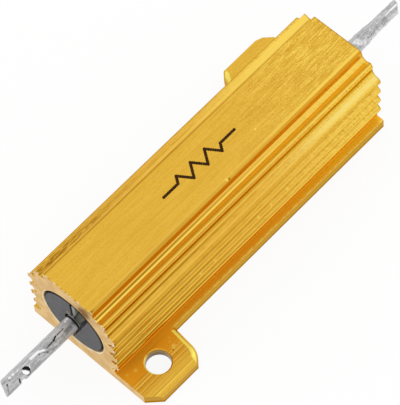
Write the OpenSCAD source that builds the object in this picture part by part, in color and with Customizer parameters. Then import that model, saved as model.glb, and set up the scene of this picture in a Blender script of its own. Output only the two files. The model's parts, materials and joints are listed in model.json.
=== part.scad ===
// Aluminium housed wirewound resistor, in millimetres. A finned, gold anodised extrusion with one
// drilled lug at each end holds a wound ceramic core, potted in compound, between two flat-ended leads.
// The origin is the middle of the mounting face, +X runs along the body and +Z points up.

/* [Housing] */
// Length of the extrusion
body_len = 50; // [42:0.5:80]
// Height from the mounting face to the top land
body_h = 15; // [14.7:0.1:18]
// Thickness of the base and of the lugs
base_t = 1.7; // [1.2:0.1:2]
// Width across the two lips of the base
lip_w = 15.6; // [15:0.1:17]
// Width across the tips of the side ribs
rib_w = 14.7; // [13.8:0.1:14.9]
// Width across the bottoms of the side grooves
root_w = 12.5; // [12:0.1:13]
// Width across the top edges of the land's side walls
land_w = 8.2; // [7:0.1:8.3]
// Diameter of the bore
bore_d = 10.4; // [9:0.1:11]
// Height of the bore's axis above the mounting face
bore_z = 7.4; // [6.8:0.1:8]

/* [Fins] */
// Number of ribs on each side
rib_count = 4; // [2:1:4]
// Distance from one side rib to the next
rib_pitch = 2.3; // [2:0.05:2.35]
// Drop from the land to the top of the first rib's blunt edge
rib_drop = 3.85; // [3.75:0.05:4]
// Drop from there to the bottom of the groove under the rib
rib_under = 1.6; // [1.3:0.05:1.65]
// Height of a rib's blunt edge
rib_edge = 0.5; // [0.2:0.05:0.6]
// Width of the slope above a rib's blunt edge
rib_slope_w = 0.35; // [0.1:0.05:0.5]
// Height of that slope
rib_slope_h = 0.4; // [0.1:0.05:0.45]
// Width of the slope along each edge of the land
land_slope_w = 0.3; // [0.1:0.05:0.4]
// Height of that slope
land_slope_h = 0.12; // [0.05:0.01:0.2]
// Depth of the groove on each side of the land
groove_drop = 1.4; // [1.1:0.05:1.6]
// Outward lean of the land's side walls, from top to bottom
wall_lean = 0.3; // [0.1:0.05:0.35]
// Width of the groove's flat floor
groove_w = 0.6; // [0.3:0.05:0.6]
// Width across the inner edges of the two brows
brow_in_w = 11.1; // [10.8:0.1:11.2]
// Width of a brow's flat top
brow_flat = 0.15; // [0.05:0.05:0.2]
// Drop from the land to a brow's top
brow_top = 1.1; // [0.9:0.05:1.2]
// Width across the two brows
brow_w = 12.1; // [12:0.05:12.4]
// Drop from the land to a brow's widest point
brow_drop = 1.8; // [1.5:0.05:2]
// Drop from the land to the notch under a brow
notch_drop = 2.4; // [2.2:0.05:2.6]
// Depth of that notch, inwards from the brow's widest point
notch_in = 0.12; // [0.06:0.02:0.4]
// Distance across from a brow's widest point to the shelf under it
shelf_out = 0.3; // [0.2:0.05:0.5]
// Drop from the land to that shelf
shelf_drop = 3.3; // [3.1:0.05:3.4]

/* [Lugs] */
// Length of a lug along the body, at the lip
lug_len = 9.9; // [8.5:0.1:14]
// How much shorter a lug is at its outer corner
lug_slant = 0.45; // [0:0.05:1]
// Width across the outer edges of the two lugs
lug_span = 27; // [26:0.5:32]
// Cut across a lug's outer corner at the end of the body
end_cut = 1.8; // [0.5:0.1:2.5]
// Cut across a lug's inner corner, measured along the body
inner_cut_x = 1.4; // [0.5:0.05:2.5]
// The same cut, measured across the body
inner_cut_y = 1.4; // [0.5:0.05:2.5]
// Diameter of the fixing hole
hole_d = 3.4; // [2.5:0.1:3.6]
// Distance from the end of the body to the hole's centre
hole_end = 4.8; // [4:0.1:5.5]
// Distance from a lug's outer edge to the hole's centre
hole_edge = 3.85; // [3.2:0.05:3.9]

/* [Wound element] */
// Diameter of the ceramic core
core_d = 6.2; // [5:0.1:6.6]
// Length of the ceramic core
core_len = 36; // [26:0.5:38]
// Wall of a pressed end cap
cap_wall = 0.4; // [0.3:0.05:0.6]
// Depth of a cap over the core's end
cap_depth = 5; // [3:0.5:7]
// Clearance between a cap and the core
cap_gap = 0.03; // [0.01:0.01:0.1]
// Diameter of the resistance wire
wire_d = 0.5; // [0.3:0.05:0.6]
// Turns of the winding
turns = 18; // [8:1:22]
// Clearance round the winding, to the core and to the caps
wire_gap = 0.04; // [0.02:0.01:0.1]

/* [Terminals] */
// Diameter of a lead's round part
lead_d = 2.15; // [1.6:0.05:2.4]
// Length of the round part outside the housing
lead_round = 4.9; // [2:0.1:5.5]
// Length over which the lead becomes flat
lead_taper = 2.1; // [1:0.1:2.5]
// Width of the flat blade
blade_w = 2.15; // [1.8:0.05:3]
// Thickness of the flat blade
blade_t = 0.95; // [0.7:0.05:1.2]
// Diameter of the eyelet through a blade
eyelet_d = 1.06; // [0.8:0.02:1.3]
// Reach of the left lead beyond the housing
left_reach = 12.4; // [10.8:0.1:18]
// Reach of the right lead beyond the housing
right_reach = 11.4; // [10.8:0.1:18]
// Distance from the housing to the left eyelet
left_eyelet = 8.8; // [8.4:0.1:10]
// Distance from the housing to the right eyelet
right_eyelet = 8.6; // [8.4:0.1:9.4]
// Shift of the left eyelet across its blade
left_shift = -0.3; // [-0.35:0.05:0.35]
// Turn of the left blade about its own axis, in degrees
left_roll = 18; // [-90:1:90]
// Turn of the right blade about its own axis, in degrees
right_roll = 70; // [-90:1:90]
// How much further the left blade's front edge reaches than its back edge
left_skew = 0.8; // [-1.5:0.1:1.5]
// How much further the right blade's front edge reaches than its back edge
right_skew = -0.5; // [-1.5:0.1:1.5]

/* [Filling] */
// Clearance between the compound and what it surrounds
fill_gap = 0.03; // [0.01:0.01:0.08]
// Width of the gap that shrinkage leaves round the face of the compound
rim_gap_w = 0.3; // [0.1:0.05:0.4]
// Width of the gap round the root of a lead
root_gap_w = 0.35; // [0.1:0.05:0.4]
// Width of the cracks across the left face
cleft_w = 0.42; // [0.1:0.02:0.5]
// Depth of those gaps and cracks
crack_depth = 0.7; // [0.2:0.05:1]

/* [Printed mark] */
// Length of the symbol, leads included
mark_len = 13; // [9:0.5:20]
// Height of its zigzag
mark_h = 1.9; // [1.2:0.1:3]
// Diameter of one dot of ink
dot_d = 0.42; // [0.36:0.02:0.6]
// Distance from one dot to the next
dot_pitch = 0.32; // [0.2:0.02:0.34]
// Thickness of the ink
ink_t = 0.03; // [0.02:0.01:0.05]
// Place of the symbol's middle along the body
mark_x = -0.7; // [-4:0.1:4]
// Place of the symbol's middle across the body
mark_y = 0.4; // [-0.8:0.1:0.8]

/* [Hidden] */

LEFT = -1;
RIGHT = 1;
half_body = body_len / 2;
// A cut runs this far past the face that it opens
over = 1;
// Size of the small step along the foot of each side wall
foot = 0.45;
// Where the curve under a brow passes, as shares of its width and height
sag = [0.3, 0.45];

// Cracks across the left face of the compound, [across, up] from the bore's axis, end to end
cracks = [
    [[-0.1, 1], [-0.1, bore_d / 2]],
    [[-2.95, 4.25], [0.85, -5.15]]
];

bore_fn = 96;
hole_fn = 48;
wire_fn = 8;
turn_fn = 24;
blade_fn = 32;

bore_r = bore_d / 2;
core_r = core_d / 2;
cap_in_r = core_r + cap_gap;
cap_out_r = cap_in_r + cap_wall;
cap_face = core_len / 2 + cap_wall;
lead_r = lead_d / 2;

// ---- Housing ---------------------------------------------------------------------------------------

// Points of one side of the section, [across, up], from the foot of the lip to the edge of the land.
function foot_points() = [
    [lip_w / 2, 0],
    [lip_w / 2, base_t],
    [root_w / 2 + foot, base_t],
    [root_w / 2 + foot, base_t + foot]
];

// A rib's underside, blunt edge and the slope above it; the next rib starts from its own groove.
function rib_points(i) =
    let (tip = body_h - rib_drop - i * rib_pitch)
    [
        [root_w / 2, tip - rib_under],
        [rib_w / 2, tip - rib_edge],
        [rib_w / 2, tip],
        [rib_w / 2 - rib_slope_w, tip + rib_slope_h]
    ];

function side_ribs() = [for (i = [rib_count - 1 : -1 : 0]) each rib_points(i)];

function brow_points() =
    let (
        widest = brow_w / 2,
        shelf = [widest + shelf_out, body_h - shelf_drop],
        notch = [widest - notch_in, body_h - notch_drop],
        run = shelf - notch,
        flat_in = brow_in_w / 2,
        wall_foot = land_w / 2 + wall_lean
    )
    [
        shelf,
        [notch[0] + sag[0] * run[0], notch[1] + sag[1] * run[1]],
        notch,
        [widest, body_h - brow_drop],
        [flat_in + brow_flat, body_h - brow_top],
        [flat_in, body_h - brow_top],
        [wall_foot + groove_w, body_h - groove_drop],
        [wall_foot, body_h - groove_drop],
        [land_w / 2, body_h - land_slope_h],
        [land_w / 2 - land_slope_w, body_h]
    ];

function half_section() = concat(foot_points(), side_ribs(), brow_points());

module section() {
    for (side = [0, 1])
        mirror([side, 0])
            polygon(concat([[0, 0]], half_section(), [[0, body_h]]));
}

// The left lug, at the -X end on the -Y side; its inner edge lies inside the base.
module lug() {
    inner = -half_body + lug_len;
    corner = inner - lug_slant;
    edge = -lug_span / 2;
    inside = -root_w / 2;
    linear_extrude(base_t)
        polygon([
            [-half_body, inside],
            [-half_body, edge + end_cut],
            [-half_body + end_cut, edge],
            [corner - inner_cut_x, edge],
            [corner, edge + inner_cut_y],
            [inner, -lip_w / 2],
            [inner, inside]
        ]);
}

module fixing_hole() {
    translate([-half_body + hole_end, -lug_span / 2 + hole_edge, -over])
        cylinder(h = base_t + 2 * over, d = hole_d, $fn = hole_fn);
}

module housing() {
    color("goldenrod")
        difference() {
            union() {
                rotate([90, 0, 90])
                    linear_extrude(body_len, center = true) section();
                for (turn = [0, 180])
                    rotate([0, 0, turn]) lug();
            }
            along_bore(0) cylinder(h = body_len + 2 * over, d = bore_d, center = true, $fn = bore_fn);
            for (turn = [0, 180])
                rotate([0, 0, turn]) fixing_hole();
        }
}

// ---- Wound element ---------------------------------------------------------------------------------

// Stands children, drawn along +Z, on the bore's axis at x, pointing to +X.
module along_bore(x) {
    translate([x, 0, bore_z]) rotate([0, 90, 0]) children();
}

// Puts children, drawn along +X, on the bore's axis, or mirrors them to the other end.
module at_end(side) {
    translate([0, 0, bore_z]) mirror([side == LEFT ? 1 : 0, 0, 0]) children();
}

module ceramic_core() {
    color("ivory")
        along_bore(0) cylinder(h = core_len, r = core_r, center = true, $fn = bore_fn);
}

module end_cap(side) {
    color("lightgray")
        at_end(side)
            rotate([0, 90, 0])
                translate([0, 0, core_len / 2 - cap_depth])
                    difference() {
                        cylinder(h = cap_depth + cap_wall, r = cap_out_r, $fn = bore_fn);
                        translate([0, 0, -over])
                            cylinder(h = cap_depth + over, r = cap_in_r, $fn = bore_fn);
                    }
}

winding_r = core_r + wire_gap + wire_d / 2;
winding_half = core_len / 2 - cap_depth - wire_gap - wire_d / 2;
winding_pitch = 2 * winding_half / turns;
winding_rings = turns * turn_fn;

// One ring of the wire's skin: its centre runs round the core while it moves along it.
function wire_ring(i) =
    let (
        turned = 360 * i / turn_fn,
        x = -winding_half + winding_pitch * i / turn_fn
    )
    [
        for (j = [0 : wire_fn - 1])
            let (around = 360 * j / wire_fn, r = winding_r + wire_d / 2 * cos(around))
            [x + wire_d / 2 * sin(around), r * cos(turned), r * sin(turned)]
    ];

function wire_quad(i, j) =
    let (next = (j + 1) % wire_fn, here = i * wire_fn, beyond = here + wire_fn)
    [here + j, here + next, beyond + next, beyond + j];

module resistance_winding() {
    first = [for (j = [wire_fn - 1 : -1 : 0]) j];
    last = [for (j = [0 : wire_fn - 1]) winding_rings * wire_fn + j];
    color("peru")
        translate([0, 0, bore_z])
            polyhedron(
                points = [for (i = [0 : winding_rings]) each wire_ring(i)],
                faces = concat(
                    [first],
                    [for (i = [0 : winding_rings - 1], j = [0 : wire_fn - 1]) wire_quad(i, j)],
                    [last]
                )
            );
}

// ---- Terminals -------------------------------------------------------------------------------------

// The blade's section, across by thick, with fully rounded edges.
module blade_section() {
    square([blade_w - blade_t, blade_t], center = true);
    for (side = [-1, 1])
        translate([side * (blade_w - blade_t) / 2, 0]) circle(d = blade_t, $fn = hole_fn);
}

// A thin slice of the blade, for blending it into the round part.
module blade_slice() {
    linear_extrude(ink_t)
        hull()
            for (side = [-1, 1])
                translate([side * (blade_w - blade_t) / 2, 0]) circle(d = blade_t, $fn = blade_fn);
}

// The flat end, lying in the XY plane along +X, cut slanting at its tip and pierced by its eyelet.
module blade(start, reach, eyelet, shift, skew) {
    tip = half_body + reach;
    difference() {
        intersection() {
            rotate([90, 0, 90])
                translate([0, 0, start]) linear_extrude(tip - start + over) blade_section();
            translate([0, 0, -blade_t])
                linear_extrude(2 * blade_t)
                    polygon([
                        [start, -blade_w],
                        [tip + skew / 2, -blade_w / 2],
                        [tip - skew / 2, blade_w / 2],
                        [start, blade_w]
                    ]);
        }
        translate([half_body + eyelet, shift, -blade_t])
            cylinder(h = 2 * blade_t, d = eyelet_d, $fn = hole_fn);
    }
}

module terminal(side, reach, eyelet, shift, roll, skew) {
    round_end = half_body + lead_round;
    flat_start = round_end + lead_taper;
    color("silver")
        at_end(side)
            rotate([roll, 0, 0]) {
                rotate([0, 90, 0])
                    translate([0, 0, cap_face])
                        cylinder(h = round_end - cap_face, r = lead_r, $fn = hole_fn);
                hull() {
                    rotate([0, 90, 0])
                        translate([0, 0, round_end - ink_t]) cylinder(h = ink_t, r = lead_r, $fn = blade_fn);
                    rotate([90, 0, 90])
                        translate([0, 0, flat_start]) blade_slice();
                }
                blade(flat_start, reach, eyelet, shift, skew);
            }
}

// ---- Filling and mark ------------------------------------------------------------------------------

// Straight crack across the left face of the compound, from one point to another, [across, up].
module cleft(from, to) {
    run = to - from;
    at_end(LEFT)
        rotate([90, 0, 90])
            translate([from[0], from[1], half_body - crack_depth])
                rotate([0, 0, atan2(run[1], run[0])])
                    translate([0, -cleft_w / 2, 0])
                        cube([norm(run), cleft_w, crack_depth + over]);
}

module tube(length, outer, inner) {
    difference() {
        cylinder(h = length, r = outer, center = true, $fn = bore_fn);
        cylinder(h = length + 2 * over, r = inner, center = true, $fn = bore_fn);
    }
}

module filling_compound() {
    skin_r = bore_r - fill_gap;
    wound_r = winding_r + wire_d / 2 + fill_gap;
    wound_len = core_len - 2 * cap_depth;
    capped_len = 2 * (cap_face + fill_gap);
    crack_at = half_body - crack_depth / 2 + over / 2;
    color("dimgray")
        difference() {
            along_bore(0) cylinder(h = body_len, r = skin_r, center = true, $fn = bore_fn);
            along_bore(0) cylinder(h = wound_len, r = wound_r, center = true, $fn = bore_fn);
            along_bore(0)
                cylinder(h = capped_len, r = cap_out_r + fill_gap, center = true, $fn = bore_fn);
            along_bore(0)
                cylinder(h = body_len + 2 * over, r = lead_r + fill_gap, center = true, $fn = hole_fn);
            for (side = [LEFT, RIGHT]) {
                along_bore(side * crack_at)
                    tube(crack_depth + over, bore_r + over, skin_r - rim_gap_w);
                along_bore(side * crack_at)
                    cylinder(h = crack_depth + over, r = lead_r + root_gap_w, center = true, $fn = hole_fn);
            }
            for (crack = cracks)
                cleft(crack[0], crack[1]);
        }
}

zigzags = 3;
lead_line = mark_len / 5;
zig_step = (mark_len - 2 * lead_line) / (4 * zigzags);

// Corners of the symbol, from its left end: a lead, the zigzag and the other lead.
function mark_corners() = concat(
    [[-mark_len / 2, 0]],
    [
        for (i = [0 : 4 * zigzags])
            [-mark_len / 2 + lead_line + i * zig_step, mark_h / 2 * sin(90 * i)]
    ],
    [[mark_len / 2, 0]]
);

module dotted_line(from, to) {
    count = ceil(norm(to - from) / dot_pitch);
    for (i = [0 : count])
        translate(from + (to - from) * i / count) circle(d = dot_d, $fn = blade_fn);
}

module printed_mark() {
    corners = mark_corners();
    color("saddlebrown")
        translate([mark_x, mark_y, body_h])
            linear_extrude(ink_t)
                for (i = [1 : len(corners) - 1])
                    dotted_line(corners[i - 1], corners[i]);
}

housing();
ceramic_core();
resistance_winding();
end_cap(LEFT);  // left_end_cap
end_cap(RIGHT);  // right_end_cap
terminal(LEFT, left_reach, left_eyelet, left_shift, left_roll, left_skew);  // left_terminal
terminal(RIGHT, right_reach, right_eyelet, 0, right_roll, right_skew);  // right_terminal
filling_compound();
printed_mark();
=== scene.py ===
"""Aluminium housed resistor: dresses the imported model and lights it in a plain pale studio.

Every size is in metres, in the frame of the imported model: +X along the body, +Z up from the mounting face.
"""

import json
import logging
import math
from dataclasses import dataclass
from enum import Enum
from typing import Callable, Iterable, Sequence, Union

import bmesh
import bpy
from mathutils import Matrix, Quaternion, Vector, noise


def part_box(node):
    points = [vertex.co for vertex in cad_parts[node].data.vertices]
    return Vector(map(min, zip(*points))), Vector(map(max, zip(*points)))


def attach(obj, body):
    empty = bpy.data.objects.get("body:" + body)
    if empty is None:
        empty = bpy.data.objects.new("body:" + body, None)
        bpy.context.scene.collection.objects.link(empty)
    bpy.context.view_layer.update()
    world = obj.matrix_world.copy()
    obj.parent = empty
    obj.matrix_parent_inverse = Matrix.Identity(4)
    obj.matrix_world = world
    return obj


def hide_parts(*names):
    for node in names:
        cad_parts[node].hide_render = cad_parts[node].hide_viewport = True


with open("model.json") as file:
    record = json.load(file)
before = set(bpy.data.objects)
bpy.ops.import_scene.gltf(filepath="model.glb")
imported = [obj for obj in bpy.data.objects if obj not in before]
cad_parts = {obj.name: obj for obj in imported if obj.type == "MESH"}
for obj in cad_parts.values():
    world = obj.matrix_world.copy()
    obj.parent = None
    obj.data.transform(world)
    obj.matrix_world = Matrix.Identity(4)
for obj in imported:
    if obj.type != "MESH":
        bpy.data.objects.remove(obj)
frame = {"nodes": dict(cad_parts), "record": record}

log = logging.getLogger("resistor")

MM = 0.001
MERGE = 0.002 * MM

Pair = tuple[float, float]
Triple = tuple[float, float, float]
Colour = Triple
Number = Union[float, "Channel"]
Edge = bmesh.types.BMEdge
Mesh = bmesh.types.BMesh
Picker = Callable[[Edge], bool]
Material = bpy.types.Material
Socket = bpy.types.NodeSocket
Tone = Union[Colour, Socket]


# ---- Shader maths ----


class Channel:
    """A number that varies over a surface; arithmetic on it adds Math nodes to its graph."""

    def __init__(self, graph: "Graph", socket: Socket) -> None:
        """Wraps the output socket that carries the number."""
        self.graph = graph
        self.socket = socket

    def _maths(self, operation: str, *terms: Number) -> "Channel":
        """Adds one Math node and returns its result."""
        node = self.graph.add("ShaderNodeMath", {"operation": operation}, dict(enumerate(terms)))
        return Channel(self.graph, node.outputs[0])

    def __add__(self, other: Number) -> "Channel":
        """self + other."""
        return self._maths("ADD", self, other)

    __radd__ = __add__

    def __sub__(self, other: Number) -> "Channel":
        """self - other."""
        return self._maths("SUBTRACT", self, other)

    def __rsub__(self, other: Number) -> "Channel":
        """other - self."""
        return self._maths("SUBTRACT", other, self)

    def __mul__(self, other: Number) -> "Channel":
        """self * other."""
        return self._maths("MULTIPLY", self, other)

    __rmul__ = __mul__

    def __abs__(self) -> "Channel":
        """The size of self without its sign."""
        return self._maths("ABSOLUTE", self)

    def rise(self, start: float, end: float) -> "Channel":
        """A smooth step from 0 at start to 1 at end, either of which may be the lower.

        Args:
            start: The value that gives 0.
            end: The value that gives 1.

        Returns:
            The step, between 0 and 1.
        """
        low, high, first = (start, end, 0.0) if start < end else (end, start, 1.0)
        inputs = {0: self, 1: low, 2: high, 3: first, 4: 1.0 - first}
        node = self.graph.add("ShaderNodeMapRange", {"interpolation_type": "SMOOTHSTEP"}, inputs)
        return Channel(self.graph, node.outputs[0])

    def band(self, centre: float, half_width: float, soft: float) -> "Channel":
        """1 within half_width of centre, falling to 0 over a further width of soft."""
        return abs(self - centre).rise(half_width + soft, half_width)


class Graph:
    """The node tree of one material."""

    def __init__(self, name: str) -> None:
        """Starts an empty material.

        Args:
            name: The material's name.
        """
        self.material = bpy.data.materials.new(name)
        self.material.use_nodes = True
        self.tree = self.material.node_tree
        self.tree.nodes.clear()
        self.texture_place = self.add("ShaderNodeTexCoord", {}, {}).outputs
        self.place = self.texture_place["Object"]

    def add(self, kind: str, settings: dict, inputs: dict) -> bpy.types.Node:
        """Adds any node: its settings first, then the values or links of its sockets.

        Args:
            kind: The node's type.
            settings: Attribute names and values.
            inputs: Socket names or numbers, each with a value, a Channel or an output socket.

        Returns:
            The new node.
        """
        node = self.tree.nodes.new(kind)
        for name, value in settings.items():
            setattr(node, name, value)
        for key, value in inputs.items():
            socket = node.inputs[key]
            value = value.socket if isinstance(value, Channel) else value
            if isinstance(value, Socket):
                self.tree.links.new(value, socket)
            elif isinstance(value, tuple) and socket.type == "RGBA":
                socket.default_value = (*value, 1.0)
            else:
                socket.default_value = value
        return node

    def axes(self) -> tuple[Channel, Channel, Channel]:
        """Object coordinates as three channels, in millimetres."""
        node = self.add("ShaderNodeSeparateXYZ", {}, {0: self.place})
        return tuple(Channel(self, socket) * (1 / MM) for socket in node.outputs)

    def facing(self) -> tuple[Channel, Channel, Channel]:
        """The surface's own normal as three channels."""
        node = self.add("ShaderNodeSeparateXYZ", {}, {0: self.texture_place["Normal"]})
        return tuple(Channel(self, socket) for socket in node.outputs)

    def noise(
        self, size: Triple, detail: float = 2.0, shift: float = 0.0, turn: Triple = (0.0, 0.0, 0.0)
    ) -> Channel:
        """Noise whose blobs are about size millimetres along X, Y and Z.

        Args:
            size: Blob size along each axis, in millimetres.
            detail: Octaves of finer noise.
            shift: Moves the pattern, so that two noises differ.
            turn: Turns the pattern about the axes before it is stretched, in radians.

        Returns:
            The noise, around 0.5.
        """
        turned = self.add("ShaderNodeMapping", {}, {"Vector": self.place, "Rotation": turn}).outputs[0]
        scale = tuple(1 / (s * MM) for s in size)
        moved = {"Vector": turned, "Location": (shift, shift, shift), "Scale": scale}
        place = self.add("ShaderNodeMapping", {}, moved).outputs[0]
        node = self.add("ShaderNodeTexNoise", {}, {"Vector": place, "Scale": 1.0, "Detail": detail})
        return Channel(self, node.outputs[0])

    def own(self, name: str) -> Channel:
        """A number that the mesh carries at its vertices."""
        return Channel(self, self.add("ShaderNodeAttribute", {"attribute_name": name}, {}).outputs["Fac"])

    def mix(self, factor: Number, first: Tone, second: Tone) -> Socket:
        """Mixes two colours: the first where the factor is 0, and the second where it is 1."""
        return self.add("ShaderNodeMix", {"data_type": "RGBA"}, {0: factor, 6: first, 7: second}).outputs[2]

    def paint(self, tone: Tone, layers: Iterable[tuple[Number, Tone]]) -> Socket:
        """Lays colours over one another.

        Args:
            tone: The colour below them all.
            layers: A mask and a colour for each, from the lowest up.

        Returns:
            The painted colour's socket.
        """
        for mask, colour in layers:
            tone = self.mix(mask, tone, colour)
        return tone

    def bump(self, height: Channel, depth: float) -> Socket:
        """Turns a height between 0 and 1 into a normal, with a depth in millimetres."""
        node = self.add("ShaderNodeBump", {}, {"Height": height, "Strength": 1.0, "Distance": depth * MM})
        return node.outputs[0]

    def surface(self, **inputs: object) -> Material:
        """Closes the graph with a Principled shader.

        Args:
            **inputs: What feeds its sockets, named with underscores for spaces.

        Returns:
            The finished material.
        """
        named = {name.replace("_", " "): value for name, value in inputs.items()}
        shader = self.add("ShaderNodeBsdfPrincipled", {}, named)
        self.add("ShaderNodeOutputMaterial", {}, {"Surface": shader.outputs[0]})
        return self.material


# ---- Finishes ----


def total(masks: Iterable[Channel]) -> Channel:
    """Adds several channels."""
    first, *others = masks
    return sum(others, first)


def oval(first: Channel, second: Channel, centre: Pair, tightness: Pair = (1.0, 1.0)) -> Channel:
    """A measure that is 0 at the centre and grows with the square of the distance from it.

    Args:
        first: The first coordinate.
        second: The second coordinate.
        centre: Both coordinates of the centre.
        tightness: How fast it grows along each of them.

    Returns:
        The measure.
    """
    a, b = first - centre[0], second - centre[1]
    return a * a * tightness[0] + b * b * tightness[1]


@dataclass(frozen=True)
class LightAndShadeLine:
    """A band along the body on which painted highlight, shade or reflection is laid, placed by a point of
    the section, in millimetres.
    """

    across: float
    up: float
    half_width: float
    strength: float
    fade: float = 0.5
    soft: float = 0.12

    def mask(self, girth: Channel, along: Channel) -> Channel:
        """Where the line is.

        Args:
            girth: The way down the section: the distance from the middle plane less the height.
            along: 0 where the line is strongest and 1 where it has faded.

        Returns:
            The mask, as strong as the line.
        """
        band = girth.band(self.across - self.up, self.half_width, self.soft)
        return band * (self.strength * (1.0 - self.fade * along))


RIB_PITCH = 2.3
RIB_COUNT = 4
RIB_DROPS = tuple(RIB_PITCH * i for i in range(RIB_COUNT))

# Painted shade on the land's right side wall.
SIDE_WALL = LightAndShadeLine(4.0, 14.4, 0.4, 0.75, 0.4667, 0.15)
# Painted orange reflection at the foot of the right side wall, at the far end.
WALL_FOOT = LightAndShadeLine(4.05, 14.98, 0.16, 0.9, 0.0)
# Painted highlight on the shelf under the notch, towards the far end.
SHELF_SHEEN = LightAndShadeLine(6.65, 11.6, 0.3, 0.8, 0.0, 0.3)
# Painted shade along the brow.
BROW_LINE = LightAndShadeLine(5.68, 13.86, 0.12, 0.6, 0.0)
# Painted shade in the notch under the brow.
NOTCH_LINE = LightAndShadeLine(6.07, 12.57, 0.18, 0.8, -0.25)
# Painted shade along the right side's grooves, rib tips and land edge; some of it is dirt.
DARK_LINES = (
    LightAndShadeLine(3.84, 14.97, 0.14, 0.4, 1.0),
    LightAndShadeLine(4.65, 13.89, 0.15, 1.0, 1.0),
    LightAndShadeLine(5.92, 13.47, 0.07, 0.35),
    LightAndShadeLine(6.08, 12.1, 0.14, 0.2, 0.0),
    LightAndShadeLine(6.42, 11.7, 0.08, 0.9, 1.2),
    LightAndShadeLine(7.3, 11.18, 0.12, 0.35),
    *(LightAndShadeLine(7.35, 10.6 - drop, 0.07, 0.45, 0.4) for drop in (*RIB_DROPS, RIB_PITCH * RIB_COUNT)),
    *(LightAndShadeLine(7.01, 9.3 - drop, 0.12, 0.65, 0.9) for drop in RIB_DROPS),
    *(LightAndShadeLine(7.25, 9.0 - drop, 0.07, 0.55, 0.9) for drop in RIB_DROPS),
    LightAndShadeLine(7.3, 9.0 - 2 * RIB_PITCH, 0.09, 0.5, 0.9),
)
# Painted highlights along the right side's edges and crests.
BRIGHT_LINES = (
    LightAndShadeLine(3.62, 15.0, 0.14, 0.35, -1.5),
    LightAndShadeLine(4.42, 14.04, 0.1, 0.7, 0.0),
    LightAndShadeLine(4.58, 13.87, 0.1, 0.08, -8.0),
    LightAndShadeLine(5.84, 13.7, 0.11, 0.85, 0.0),
    LightAndShadeLine(6.05, 13.12, 0.08, 0.8, 0.3),
    LightAndShadeLine(6.2, 11.9, 0.12, 0.6, 0.0),
    LightAndShadeLine(7.15, 11.5, 0.17, 0.6, 0.0),
    *(LightAndShadeLine(7.08, 9.16 - drop, 0.07, 0.35, 0.0) for drop in RIB_DROPS),
)
# Painted highlight in the groove beside the land.
GLINT_LINE = LightAndShadeLine(4.84, 13.75, 0.14, 0.9)
# Painted highlights along the rib tips.
TIP_LINES = tuple(LightAndShadeLine(7.35, 8.72 - drop, 0.1, 0.6, 0.0) for drop in RIB_DROPS)
# Painted highlight on the left brow's slope at the far end.
LEFT_SLOPE = LightAndShadeLine(5.3, 13.5, 0.5, 1.0, 0.0, 0.2)
# Painted shade along the left outline, and a darker line in the left groove.
LEFT_DARK_LINES = (LightAndShadeLine(4.75, 13.6, 0.08, 0.5, 0.3), LightAndShadeLine(7.2, 11.22, 0.26, 0.85, 0.2))
# Painted highlight along the left groove.
LEFT_BRIGHT_LINE = LightAndShadeLine(5.05, 13.65, 0.08, 0.6, 0.0)

# The lines scored along a lug: distance from the middle plane and half width in millimetres, and strength.
LUG_DARK_LINES = ((10.55, 0.05, 0.5), (12.62, 0.07, 0.5), (13.02, 0.05, 0.4), (11.25, 0.04, 0.3))
LUG_BRIGHT_LINES = (
    (9.85, 0.06, 0.8),
    (10.28, 0.1, 1.0),
    (12.82, 0.09, 0.7),
    (13.28, 0.1, 0.8),
    (11.0, 0.05, 0.4),
)


@dataclass(frozen=True)
class Nick:
    """A small knock in the skin, at a place given in millimetres."""

    x: float
    y: float
    z: float
    radius: float
    strength: float = 0.9
    full_share: float = 0.4

    def mask(self, axes: Sequence[Channel]) -> Channel:
        """Where the nick is.

        Args:
            axes: The place along each axis, in millimetres.

        Returns:
            Its strength around its middle, falling to 0 at its radius.
        """
        gaps = [axis - place for axis, place in zip(axes, (self.x, self.y, self.z))]
        square = self.radius**2
        return total(gap * gap for gap in gaps).rise(square, self.full_share * square) * self.strength


# Knocks in the skin, with no dent in the mesh; their bright colour is a painted highlight.
BRIGHT_NICKS = (
    Nick(-0.15, -3.8, 15.0, 0.24),
    Nick(7.6, -1.55, 15.0, 0.2),
    Nick(-17.25, -9.58, 1.7, 0.3, 1.0),
    Nick(-17.45, -9.76, 1.7, 0.3, 1.0),
    Nick(-23.0, -8.35, 1.7, 0.32, 0.6),
    Nick(-24.2, -8.0, 1.7, 0.24, 0.4),
    Nick(-17.2, -8.8, 1.7, 0.22, 0.3),
    Nick(-16.8, -8.4, 1.7, 0.2, 0.3),
    Nick(1.6, -7.2, 6.75, 0.28, 0.5),
    Nick(4.0, -7.2, 6.75, 0.24, 0.4),
    Nick(7.1, -7.2, 6.75, 0.28, 0.5),
    Nick(-6.6, -7.2, 6.6, 0.26, 0.4),
    Nick(-9.2, -7.2, 6.75, 0.24, 0.35),
    Nick(11.8, -7.25, 8.9, 0.24, 0.5),
    Nick(-16.8, -6.3, 13.5, 0.22),
)
# Dark spots at knocks: painted shade on their dark side.
DARK_NICKS = (Nick(0.18, -3.98, 15.0, 0.2), Nick(-6.9, -7.35, 11.0, 0.24), Nick(-17.75, -9.95, 1.7, 0.14))


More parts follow.
